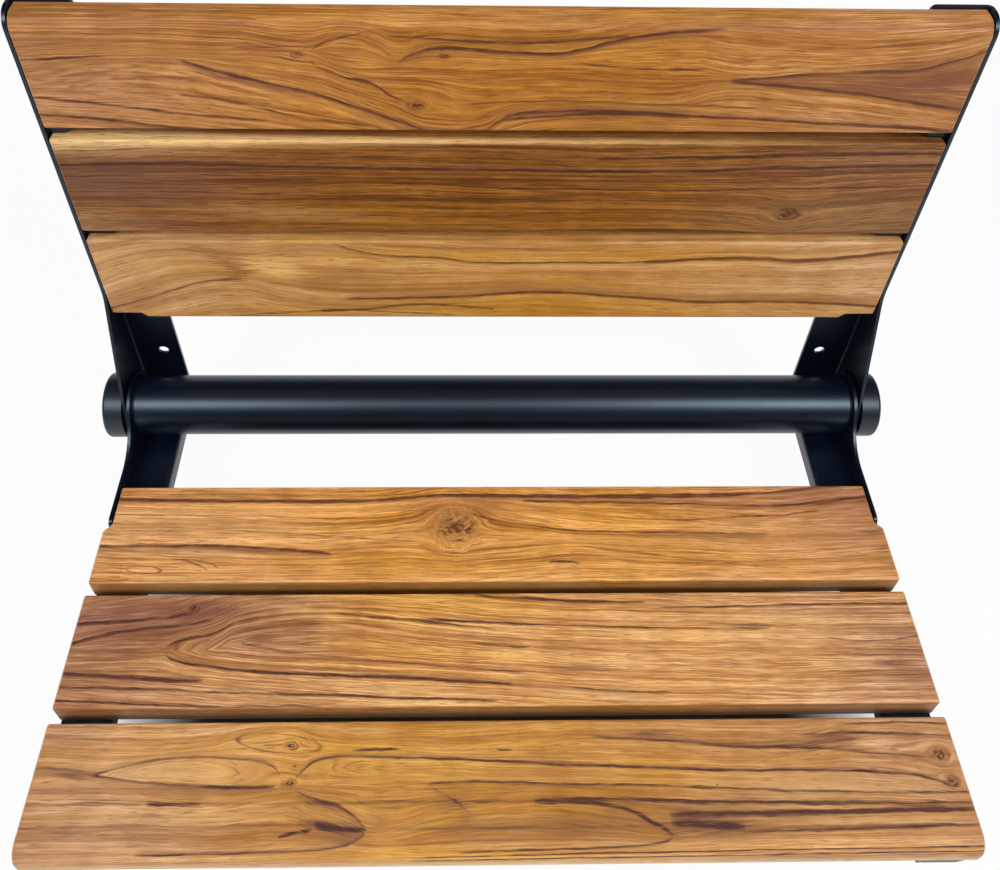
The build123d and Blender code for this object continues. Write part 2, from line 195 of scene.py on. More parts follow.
# Soft studio light: two boxes beside the camera, one overhead, a strip for gloss and a fill behind,
# in a white surround
studio = {
    "lookAt": (0.0, -0.15, 0.10),
    "boxes": {                      # place, width, height, watts, lights matt surfaces, shows in gloss
        "left_box": ((-0.85, -1.10, 1.40), 0.50, 0.70, 15.5, True, True),
        "right_box": ((0.82, -1.10, 1.40), 0.50, 0.70, 18.0, True, True),
        "overhead_box": ((0.0, -0.45, 1.95), 1.60, 0.70, 7.0, True, False),
        "strip_box": ((0.0, -1.10, 1.45), 1.20, 0.45, 3.6, False, True),
        "back_box": ((0.0, 1.60, 1.10), 1.60, 0.80, 6.0, True, False),
    },
    "ambient": (0.11, 0.11, 0.113),
    "dark": (0.035, 0.036, 0.038),  # the ceiling and the camera's side, in reflections
    "behind": (-0.10, 0.35),        # where the surround turns white behind the seat, in reflections
    "ceiling": (0.12, 0.45),        # how high the surround's white ends, in reflections
    "white": (1.0, 1.0, 1.0),
    "floorDrop": 0.0705,            # the brackets' feet stand just over the floor
    "floorSize": 12.0,
    "floorColour": (0.90, 0.90, 0.90),
    "floorGlow": 0.95,              # how much of the floor's white is its own
    # where the seat shades the floor, and the floor is painted darker as its shadow: middle, half sizes,
    # softness
    "pool": ((0.0, -0.225), (0.280, 0.125), 0.22),
    # painted shadow: the floor's colour under the seat
    "paintedShadowColour": (0.09, 0.09, 0.09),
    "poolReach": 0.30,              # how far over the floor the seat still shades it
    "covered": (0.35, 0.58),        # how open to the sky the floor is where the shade fades, from and to
}


def hangBox(name, place, width, height, watts, matt, gloss):
    lamp = bpy.data.lights.new(name, "AREA")
    lamp.shape = "RECTANGLE"
    lamp.size = width
    lamp.size_y = height
    lamp.energy = watts
    box = bpy.data.objects.new(name, lamp)
    box.location = place
    box.visible_diffuse = matt
    box.visible_glossy = gloss
    box.rotation_euler = (Vector(studio["lookAt"]) - Vector(place)).to_track_quat("-Z", "Y").to_euler()
    bpy.context.scene.collection.objects.link(box)


# 1 where the surround is looked at, straight or in a reflection
def seen(paint, mirrored=1.0):
    camera, glossy, through = paint.node(
        "ShaderNodeLightPath", out=("Is Camera Ray", "Is Glossy Ray", "Is Transmission Ray"))
    return paint.maths("MAXIMUM", paint.maths("MAXIMUM", camera, glossy * mirrored), through)


def lightStudio():
    for name, box in studio["boxes"].items():
        hangBox(name, *box)
    world = bpy.data.worlds.new("surround")
    world.use_nodes = True
    bpy.context.scene.world = world
    paint = Paint(world.node_tree)
    y, up = paint.split(paint.node("ShaderNodeTexCoord", out="Generated"))[1:]
    walls = (1 - paint.between(up, *studio["ceiling"])) * paint.between(y, *studio["behind"])
    glossy = paint.node("ShaderNodeLightPath", out="Is Glossy Ray")
    colour = paint.mix(glossy, studio["ambient"], studio["dark"])
    colour = paint.mix(seen(paint, walls), colour, studio["white"])
    back = paint.node("ShaderNodeBackground", None, {"Color": colour, "Strength": 1.0})
    paint.node("ShaderNodeOutputWorld", None, {"Surface": back}, None)
    bpy.context.scene.view_settings.view_transform = "Standard"


def layFloor():
    half = studio["floorSize"] / 2
    mesh = bpy.data.meshes.new("floor")
    corners = [(-half, -half, 0), (half, -half, 0), (half, half, 0), (-half, half, 0)]
    mesh.from_pydata(corners, [], [(0, 1, 2, 3)])
    floor = bpy.data.objects.new("floor", mesh)
    floor.location.z = -studio["floorDrop"]
    bpy.context.scene.collection.objects.link(floor)
    material, paint = newFinish("pale_floor")
    x, y = paint.split(paint.objectPlace())[:2]
    middle, halves, soft = studio["pool"]
    inX = 1 - paint.between(abs(x - middle[0]) / halves[0], 1 - soft, 1 + soft)
    inY = 1 - paint.between(abs(y - middle[1]) / halves[1], 1 - soft, 1 + soft)
    sky = paint.node("ShaderNodeAmbientOcclusion", {"samples": 16}, {"Distance": studio["poolReach"]}, "AO")
    pool = inX * inY * (1 - paint.between(sky, *studio["covered"]))
    share = seen(paint) * (1 - pool) * studio["floorGlow"]
    # painted shadow: the floor's colour darkens where the seat covers it
    colour = paint.mix(pool, studio["floorColour"], studio["paintedShadowColour"])
    matt = paint.node("ShaderNodeBsdfDiffuse", None, {"Color": colour})
    glow = paint.node("ShaderNodeEmission", None, {"Color": (*studio["white"], 1.0), "Strength": 1.0})
    both = paint.node("ShaderNodeMixShader", None, {0: share, 1: matt, 2: glow})
    paint.node("ShaderNodeOutputMaterial", None, {"Surface": both}, None)
    mesh.materials.append(material)


aimCamera()
lightStudio()
layFloor()
print("studio: camera, lights and floor")


# Teak. A board is drawn in millimetres, along it and across it from its middle, and deep from its face.
# Guides are lines that the grain runs along, from the low edge up, each with its level in the grain.
# Ridges swell the grain between two guides, so its lines close to arches: (lower guide, heights along it).
# Lines are (width, soft side, strength, path), with the soft side above the line where it is positive.
# Shades, golds, patches and pales are (along, across, half length, half height, tilt in degrees, strength).
# Rings are (along, across, half length, half height, tilt, line width, strength).
# Knots are (along, across, radius, stretch).
# Side is how much painted shade the board's faces in the drain gaps take.
topBackSlat = {
    "seed": 3.1,
    "light": (0.64, 0.327, 0.148), "mid": (0.432, 0.196, 0.062), "deep": (0.235, 0.084, 0.020),
    "line": (0.070, 0.020, 0.009), "patch": (0.20, 0.072, 0.036), "pale": (0.72, 0.40, 0.17),
    "warm": 0.50, "bands": 0.72, "growth": 0.62, "drift": 5.0, "side": 0,
    "busy": 1.0,
    "shades": [
        (-305, 0, 95, 60, 0, 0.25), (292, 2, 70, 20, 0, 0.60), (60, -27, 70, 6, 0, 0.4),
        (90, 36, 230, 14, 0, 0.62),
        (-10, 26, 70, 8, 0, 0.3), (-170, -28, 120, 14, -12, 0.25),
    ],
    "golds": [(15, 2, 190, 45, 0, 1.0), (190, 30, 130, 14, 0, 0.6)],
    "guides": [
        (-60, [(-305, -46), (-205, -60), (-100, -78), (-40, -90), (-5, -62), (40, -46), (150, -48),
               (305, -60)]),
        (-36, [(-305, -16), (-210, -19), (-155, -27), (-120, -34), (-85, -41), (-40, -62), (-5, -46),
               (30, -35),
               (110, -34), (210, -38), (305, -47)]),
        (-26, [(-305, 2), (-205, 10), (-178, 2), (-150, -5), (-126, -11), (-88, -26), (-66, -35),
               (-40, -46), (-12, -42),
               (-2, -33), (10, -27), (40, -24), (80, -24), (125, -27), (210, -32), (305, -39)]),
        (-8, [(-305, 11), (-250, 15), (-180, 14), (-122, 9), (-100, 0), (-74, -9), (-50, -11),
              (-20, -17), (20, -15),
              (60, -15), (110, -14), (150, -3), (190, -6), (230, -9), (265, -15), (305, -22)]),
        (8, [(-305, 22), (-200, 22), (-130, 19), (-95, 8), (-66, 9), (-40, 9), (0, 8), (45, 11), (85, 8),
             (125, 6),
             (150, 2), (190, 5), (230, 7), (265, 9), (285, 15), (305, 24)]),
        (24, [(-305, 31), (-170, 28), (-125, 21), (-100, 29), (-80, 22), (-66, 14), (-55, 19),
              (-40, 22.5), (-15, 21),
              (10, 19.5), (32, 19), (48, 22), (64, 27), (84, 32), (110, 36), (150, 33), (220, 28),
              (305, 38)]),
        (48, [(-305, 50), (-100, 47), (0, 42), (80, 46), (305, 54)]),
    ],
    "ridges": [(3, [(-305, 0), (150, 0), (305, 4)])],
    "lines": [
        (1.8, -4, 0.85, [(-205, 12), (-178, 3), (-150, -5), (-126, -11)]),
        (1.7, -3, 0.80, [(-130, -10), (-110, -17), (-88, -26), (-66, -35), (-46, -43)]),
        (1.8, 0, 0.70, [(-212, -13), (-180, -18), (-155, -25), (-120, -33), (-85, -38)]),
        (1.4, 0, 0.80, [(-102, 1), (-86, -4), (-74, -13), (-60, -20)]),
        (1.1, 0, 0.65, [(-123, 15), (-117, 7), (-100, 0), (-90, -3)]),
        (1.0, 0, 0.60, [(-123, 17), (-116, 24), (-100, 30), (-80, 36)]),
        (1.8, -3, 0.90, [(-68, 11), (-55, 19), (-40, 22.5), (-15, 21), (10, 19.5), (32, 19), (48, 22),
                         (64, 27),
                         (84, 32), (110, 36), (138, 38)]),
        (1.8, 0, 0.80, [(-75, 31), (-40, 29), (-10, 27), (15, 27), (45, 29), (78, 33)]),
        (1.5, 0, 0.75, [(42, 13), (60, 10.5), (85, 8.5), (130, 8)]),
        (1.7, 3, 0.90, [(-12, -43), (-2, -33), (10, -27), (40, -25), (80, -25), (125, -27)]),
        (1.5, 3, 0.85, [(0, -33), (30, -29), (70, -27), (110, -28), (160, -30), (210, -33), (260, -36),
                        (305, -40)]),
        (1.2, 0, 0.65, [(-25, -20), (20, -17), (60, -17), (110, -19), (175, -22)]),
        (1.8, -4, 0.75, [(145, 0), (190, 4), (230, 7), (265, 9), (285, 15), (305, 24)]),
        (1.8, 4, 0.85, [(145, -1), (190, -5), (230, -9), (265, -15), (305, -22)]),
        (2.4, 0, 0.85, [(-305, -30), (-275, -32), (-245, -36), (-205, -42)]),
        (1.6, 0, 0.75, [(-305, -16), (-270, -20), (-235, -25), (-205, -29), (-155, -34)]),
        (0.9, 0, 0.75, [(-294, 11.5), (-268, 14), (-248, 15)]),
        (0.9, 0, 0.85, [(-172, 22), (-138, 22)]),
    ],
    "patches": [
        (-240, 33, 48, 4, 0, 0.6), (-292, 22, 30, 9, 0, 0.5), (262, -3, 85, 10, 0, 1.0),
        (296, 12, 28, 10, 20, 0.7),
        (-165, -1, 26, 4, -18, 0.7), (60, -27, 65, 4, 0, 0.65), (-270, -8, 70, 30, 0, 0.25),
    ],
    "pales": [],
    "rings": [],
    "knots": [(-57, -21, 4.0, 1.7), (-38, 17, 2.2, 1.7), (-131, 17, 2.6, 1.8)],
}

middleBackSlat = {
    "seed": 8.7,
    "light": (0.36, 0.171, 0.072), "mid": (0.242, 0.099, 0.030), "deep": (0.115, 0.039, 0.008),
    "line": (0.045, 0.012, 0.006), "patch": (0.17, 0.068, 0.042), "pale": (0.85, 0.56, 0.24),
    "warm": 0.75, "bands": 0.7, "growth": 0.85, "drift": 2.0, "side": 0,
    "busy": 1.2,
    "shades": [(-305, 6, 120, 24, 0, 0.70), (20, 26, 210, 16, 0, 0.28), (-130, 0, 110, 16, 0, 0.2)],
    "golds": [(-20, -18, 240, 32, 0, 1.0)],
    "guides": [
        (-50, [(-305, -46), (0, -46), (150, -47), (305, -45)]),
        (-24, [(-305, -20), (-200, -21), (0, -24), (150, -24), (190, -28), (210, -31), (232, -28),
               (305, -18)]),
        (0, [(-305, -2), (-200, -2), (-70, 4), (0, 1.5), (100, 0), (180, -3), (210, -8), (240, -2),
             (305, 5)]),
        (20, [(-305, 20), (-250, 22), (-200, 22), (-100, 19), (0, 18), (50, 17), (150, 18), (230, 21.5),
              (305, 24)]),
        (33, [(-305, 29), (-225, 36), (-150, 34), (0, 32), (70, 28), (150, 30), (240, 33), (305, 34)]),
        (52, [(-305, 50), (0, 50), (305, 52)]),
    ],
    "ridges": [],
    "lines": [
        (2.0, 2, 0.90, [(-305, 20), (-250, 22), (-200, 22), (-150, 20), (-100, 19), (-50, 18.5), (0, 18),
                        (50, 17),
                        (150, 18), (180, 20), (230, 21.5), (305, 24)]),
        (1.8, 0, 1.00, [(65, 28), (100, 29), (150, 30), (200, 32), (240, 33), (305, 34)]),
        (1.2, 0, 0.75, [(-80, 5), (-30, 4), (0, 1.5), (50, 1), (100, 0), (200, 2), (305, 5)]),
        (1.0, 0, 0.60, [(-305, 10), (-200, 12), (-60, 10), (100, 9), (305, 13)]),
        (1.0, 0, 0.60, [(-305, -3), (-200, -4), (-100, -7), (50, -9), (150, -10)]),
        (1.4, 0, 0.75, [(80, -38), (140, -38), (200, -41)]),
        (0.9, 0, 0.60, [(-305, 33), (-270, 33.5), (-235, 36)]),
    ],
    "patches": [(-270, 8, 90, 26, 0, 0.7), (280, 10, 60, 26, 0, 0.2), (-255, -30, 30, 7, 0, 0.3)],
    "pales": [(-305, 46, 120, 15, -2, 1.0), (-190, 43, 160, 6.0, 0, 0.9), (0, 44, 200, 3.5, 0, 0.7),
              (-160, -22, 70, 7, -4, 0.20), (240, -26, 120, 24, 0, 0.14), (-295, -32, 40, 12, 0, 0.20)],
    "rings": [],
    "knots": [(210, -22, 6.0, 1.7)],
}

bottomBackSlat = {
    "seed": 14.2,
    "light": (0.76, 0.488, 0.260), "mid": (0.558, 0.300, 0.121), "deep": (0.32, 0.138, 0.036),
    "line": (0.120, 0.040, 0.014), "patch": (0.30, 0.128, 0.038), "pale": (0.86, 0.56, 0.20),
    "warm": 0.45, "bands": 0.95, "growth": 0.42, "drift": 5.0, "side": 0,
    "busy": 0.5,
    "shades": [
        (-125, 3, 55, 14, 0, 0.25), (-210, 22, 40, 26, -30, 0.35), (-295, -28, 40, 10, 20, 0.4),
        (20, 38, 330, 10, 0, 0.62), (-100, -28, 70, 10, 0, 0.25),
    ],
    "golds": [(40, -32, 220, 14, 0, 1.0), (60, 27, 200, 7, 0, 0.9), (-170, 12, 40, 18, 0, 0.8)],
    "guides": [
        (-50, [(-305, -62), (-200, -50), (0, -48), (160, -55), (305, -60)]),
        (-18, [(-305, -31), (-280, -22), (-240, -6), (-210, 0), (-165, -12), (-120, -20), (-50, -18),
               (0, -14), (30, -12),
               (60, -13), (90, -16), (130, -20), (160, -23), (200, -22), (240, -23), (305, -28)]),
        (2, [(-305, -12), (-270, 4), (-240, 13), (-200, 12), (-150, 5), (-50, 3), (30, 4), (130, 1),
             (305, 2)]),
        (22, [(-305, 18), (-240, 33), (-215, 32), (-190, 30), (-150, 37), (-105, 32), (-80, 27),
              (-50, 26), (-20, 21),
              (50, 21), (120, 21.5), (160, 25), (200, 25), (230, 23), (260, 26), (305, 33)]),
        (48, [(-305, 42), (-200, 54), (-120, 52), (0, 46), (305, 56)]),
    ],
    "ridges": [(2, [(-305, 0), (-215, 0), (-150, 4), (0, 0), (305, 0)])],
    "lines": [
        (1.4, -3, 0.75, [(-125, 42), (-105, 32), (-80, 27), (-50, 26), (-20, 21), (0, 20), (50, 21),
                         (120, 21.5),
                         (160, 25), (200, 25), (230, 23), (260, 26), (280, 29), (305, 33)]),
        (2.6, 2, 0.75, [(110, 21), (160, 25), (200, 25), (230, 23), (260, 26), (305, 33)]),
        (2.4, 7, 1.00, [(-120, -20), (-50, -18), (-25, -17), (0, -14), (30, -12), (60, -13), (90, -16),
                        (130, -20),
                        (160, -23), (200, -22), (240, -23), (305, -28)]),
        (1.8, 2, 0.75, [(-140, -33), (-100, -31), (-60, -26), (-30, -28), (0, -32)]),
        (1.4, 0, 0.65, [(-215, -39), (-170, -36), (-115, -33), (-70, -36), (-30, -38)]),
        (2.0, 2, 0.75, [(-305, -31), (-280, -22), (-260, -14), (-240, -6), (-225, -1), (-195, 2)]),
        (1.0, 0, 0.50, [(-155, 15), (-120, 13), (-80, 9), (-40, 9)]),
        (1.0, 0, 0.50, [(-95, 38), (-60, 36), (0, 35), (60, 33), (120, 32)]),
    ],
    "patches": [
        (-214, 27, 34, 6, -38, 0.9), (-198, 8, 9, 16, 0, 0.9), (-292, -28, 24, 5, 20, 0.7),
        (-125, 5, 45, 14, 0, 0.5),
        (50, -7, 60, 8, 0, 0.4), (255, -20, 60, 5, -3, 0.6), (-260, 6, 50, 18, 0, 0.25),
    ],
    "pales": [(-172, 12, 26, 12, -10, 0.9), (-255, 12, 55, 20, 0, 0.25), (-60, -37, 80, 3, 0, 0.4)],
    "rings": [],
    "knots": [],
}

rearSeatSlat = {
    "seed": 21.6,
    "light": (1.0, 0.568, 0.272), "mid": (0.693, 0.349, 0.132), "deep": (0.347, 0.142, 0.041),
    "line": (0.100, 0.030, 0.018), "patch": (0.26, 0.105, 0.052), "pale": (0.82, 0.48, 0.20),
    "warm": 0.40, "bands": 0.85, "growth": 0.62, "drift": 4.0, "side": 0.55,
    "busy": 0.85,
    "shades": [
        (305, 8, 75, 55, 0, 0.75), (170, -3, 120, 10, 0, 0.40), (-210, -15, 90, 7, 0, 0.4),
        (-30, 14, 55, 26, 0, 0.85),
        (10, 22, 90, 9, 0, 0.35), (262, 32, 90, 14, 0, 0.9),
    ],
    "golds": [(-40, 10, 170, 40, 0, 0.8)],
    "guides": [
        (-50, [(-305, -48), (0, -46), (305, -46)]),
        (-18, [(-305, -14.5), (-230, -19), (-140, -20), (-80, -15), (-33, -13), (10, -14), (60, -11),
               (120, -16),
               (200, -20), (305, -14)]),
        (6, [(-305, 17), (-200, 15), (-100, 13), (-65, 17), (-33, 23), (-15, 16), (0, 10), (30, 5),
             (60, 1), (100, 0),
             (150, -1), (215, -3), (305, -4)]),
        (26, [(-305, 24), (-120, 23), (-50, 28), (20, 28), (60, 27), (110, 26), (150, 25), (200, 23),
              (230, 23),
              (250, 25), (280, 29), (305, 31)]),
        (33, [(-305, 30), (-250, 29), (-180, 28), (-120, 28), (-80, 30), (-50, 33), (-20, 33), (50, 32),
              (120, 32),
              (170, 33), (200, 34), (230, 36), (255, 39), (285, 42), (305, 43)]),
        (50, [(-305, 47), (0, 48), (305, 56)]),
    ],
    "ridges": [(2, [(-305, 0), (60, 0), (150, 3), (305, 4)])],
    "lines": [
        (1.8, -2, 1.00, [(-305, 30), (-250, 29), (-180, 28), (-120, 28), (-80, 30), (-50, 33), (-20, 33),
                         (50, 32),
                         (120, 32), (170, 33), (200, 34), (230, 36), (255, 39), (285, 42)]),
        (1.9, -4, 0.80, [(-30, 33), (50, 32), (120, 31.5), (170, 32), (205, 34)]),
        (1.6, 2, 0.95, [(20, 28), (60, 27), (110, 26), (150, 25), (200, 23), (230, 23), (250, 25),
                        (280, 29), (305, 31)]),
        (1.3, 0, 0.75, [(-22, 17), (0, 10), (30, 5), (60, 1), (100, 0), (150, -1), (215, -3)]),
        (1.8, -4, 0.95, [(-305, -11), (-260, -11), (-200, -12), (-170, -14), (-125, -18)]),
        (1.0, 0, 0.50, [(-305, -14.5), (-270, -16), (-230, -19), (-200, -20)]),
        (1.0, 0, 0.75, [(120, 12), (155, 10), (172, 12), (235, 15), (260, 19)]),
        (0.9, 0, 0.55, [(-305, 6), (-220, 3), (-120, -4), (-60, -8)]),
        (0.9, 0, 0.50, [(-305, 17), (-200, 15), (-100, 13), (-65, 17)]),
        (1.3, 0, 0.90, [(38, -26), (50, -25.5), (64, -27)]),
        (0.9, 0, 0.6, [(-240, -22), (-222, -25), (-208, -31)]),
        (0.9, 0, 0.6, [(-250, -21), (-232, -25), (-215, -34)]),
        (0.9, 0, 0.50, [(60, -12), (120, -20), (170, -27), (230, -33)]),
        (0.9, 0, 0.50, [(170, -27), (220, -25), (285, -21)]),
    ],
    "patches": [
        (-190, -16, 42, 4, -3, 0.85), (160, -4, 90, 8, -2, 0.5), (297, 0, 16, 6, 0, 0.85),
        (302, -16, 14, 7, 0, 0.8),
        (304, -31, 12, 4, 0, 0.8), (235, 31, 60, 5, 6, 0.5), (-60, 21, 30, 3, 8, 0.45),
    ],
    "pales": [(-240, 8, 90, 16, 0, 0.35), (-140, 0, 70, 14, 0, 0.2)],
    "rings": [(-266, -31, 13, 3, -4, 0.9, 0.6), (-268, -40, 18, 5, 0, 0.8, 0.3)],
    "knots": [(-31, 4, 13.5, 1.05)],
}

middleSeatSlat = {
    "seed": 29.3,
    "light": (0.95, 0.590, 0.335), "mid": (0.600, 0.308, 0.145), "deep": (0.300, 0.118, 0.044),
    "line": (0.066, 0.022, 0.018), "patch": (0.22, 0.086, 0.048), "pale": (0.90, 0.56, 0.26),
    "warm": 0.45, "bands": 0.62, "growth": 0.68, "drift": 4.0, "side": 0.5,
    "busy": 0.95,
    "shades": [
        (-305, 0, 80, 80, 0, 0.65), (-225, 26, 110, 22, 0, 0.85), (-170, 6, 60, 20, 0, 0.50),
        (305, -12, 55, 40, 0, 0.55),
        (-60, 4, 130, 12, -3, 0.2),
    ],
    "golds": [(-40, 30, 160, 14, 0, 0.4)],
    "guides": [
        (-56, [(-305, -36), (-270, -37), (-220, -40), (-120, -47), (0, -54), (305, -64)]),
        (-36, [(-305, -17), (-280, -19), (-240, -22), (-205, -26), (-100, -34), (0, -38), (100, -45),
               (305, -48)]),
        (-20, [(-305, -6), (-260, -4), (-238, -3), (-226, -9), (-205, -13), (-180, -16), (-120, -19),
               (-60, -22), (10, -27),
               (100, -32), (305, -33)]),
        (-15, [(-305, 0), (-260, -1), (-238, 0), (-228, 6), (-208, 10), (-198, 15), (-190, 20),
               (-120, 26), (-60, 20), (0, 13),
             (100, 9), (200, 7), (305, 5)]),
        (0, [(-305, 4), (-285, 10), (-260, 15), (-230, 18), (-205, 24), (-180, 32), (-120, 36),
             (-60, 32), (0, 26), (60, 22),
              (150, 20), (305, 18)]),
        (18, [(-305, 19), (-270, 21), (-240, 24), (-215, 34), (-180, 44), (-100, 46), (-20, 41),
              (20, 37), (50, 35), (110, 34),
              (170, 30), (240, 31), (305, 31)]),
        (44, [(-305, 48), (-200, 62), (0, 60), (305, 54)]),
    ],
    "ridges": [(2, [(-305, 0), (-240, 1), (-180, 18), (-100, 24), (0, 22), (100, 22), (305, 20)])],
    "lines": [
        (1.6, 0, 0.90, [(-305, 19), (-270, 21), (-240, 24), (-220, 27)]),
        (1.8, 0, 0.95, [(-305, 4), (-285, 10), (-260, 15), (-230, 18), (-205, 22)]),
        (1.6, 0, 0.85, [(-238, -1), (-228, 6), (-208, 10), (-198, 15), (-190, 20)]),
        (1.6, 2, 0.90, [(-238, -2), (-226, -9), (-205, -13), (-180, -16), (-120, -19), (-60, -22),
                        (10, -27)]),
        (1.3, 0, 0.65, [(-186, 5), (-165, 0), (-130, -5), (-100, -8), (-40, -14), (20, -19)]),
        (2.0, 3, 0.90, [(-305, -17), (-280, -19), (-240, -22), (-205, -23)]),
        (1.3, 0, 0.85, [(-305, -27), (-250, -28), (-190, -31), (-100, -34), (0, -38)]),
        (1.3, 0, 0.85, [(-305, -36), (-270, -37), (-220, -40), (-120, -41)]),
        (1.6, 0, 1.00, [(-20, 41), (0, 38), (20, 37), (50, 35), (110, 34)]),
        (1.0, 0, 0.75, [(-60, 22), (-20, 19), (40, 16), (110, 14), (200, 13)]),
        (1.2, 0, 0.90, [(48, -29), (70, -31), (90, -32), (120, -33)]),
        (1.1, 0, 0.80, [(-20, 3), (10, 0), (24, -0.5)]),
        (1.3, 0, 0.80, [(110, 29), (170, 30), (240, 31), (305, 31)]),
        (1.0, 0, 0.70, [(150, 17), (200, 15), (220, 15.5)]),
        (1.0, 0, 0.65, [(-120, 26), (-60, 20), (0, 13)]),
        (1.0, 0, 0.70, [(235, 6), (270, 3), (305, 7)]),
    ],
    "patches": [
        (-285, 2, 60, 45, 0, 0.5), (-230, 22, 90, 24, 0, 0.4), (-216, 30, 30, 8, 0, 0.95),
        (-160, 38, 40, 6, -6, 0.6), (-170, 6, 14, 6, 0, 0.8),
        (-262, -3, 12, 4, 0, 0.6), (60, -15, 26, 4, -2, 0.7), (290, 8, 34, 8, 0, 0.6),
        (288, -16, 34, 14, 0, 0.7),
        (-260, -21, 50, 3, -3, 0.7), (250, 27, 60, 6, 0, 0.4), (-60, 6, 60, 4, -4, 0.3),
    ],
    "pales": [
        (-145, 30, 20, 3, -6, 0.5), (-60, -30, 60, 4, -5, 0.4), (60, -34, 70, 6, -3, 0.45),
        (210, 22, 60, 4, 0, 0.4),
        (190, 12, 110, 26, 0, 0.20),
    ],
    "rings": [],
    "knots": [(-222, 30, 3.5, 1.2)],
}

